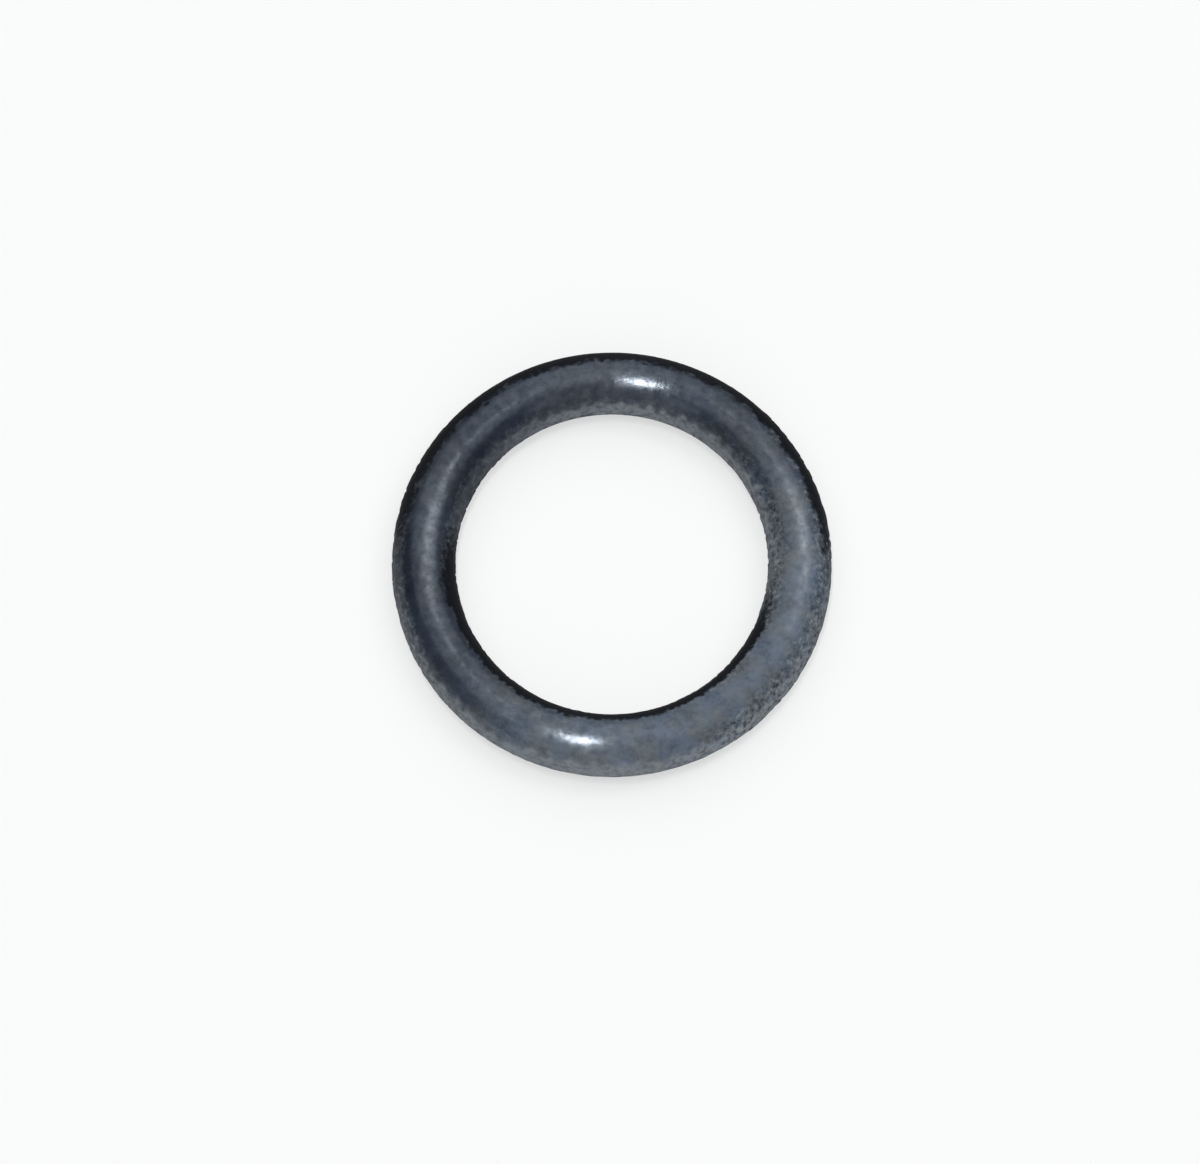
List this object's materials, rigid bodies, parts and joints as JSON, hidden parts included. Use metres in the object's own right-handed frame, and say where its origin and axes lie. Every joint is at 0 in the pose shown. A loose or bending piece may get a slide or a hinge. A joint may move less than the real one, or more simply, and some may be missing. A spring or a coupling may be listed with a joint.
{
  "type": "rubber o-ring",
  "caption": "Moulded black rubber o-ring of round section, a seal between two round parts or two faces.",
  "frame": {"origin": "centre of the ring, at half its height", "axes": "+Z along the ring's axis, with the ring lying flat in the XY plane"},
  "size_m": [0.021, 0.021, 0.003],
  "materials": {
    "rubber": "satin"
  },
  "bodies": {
    "root": {"o_ring": "rubber"}
  },
  "joints": []
}
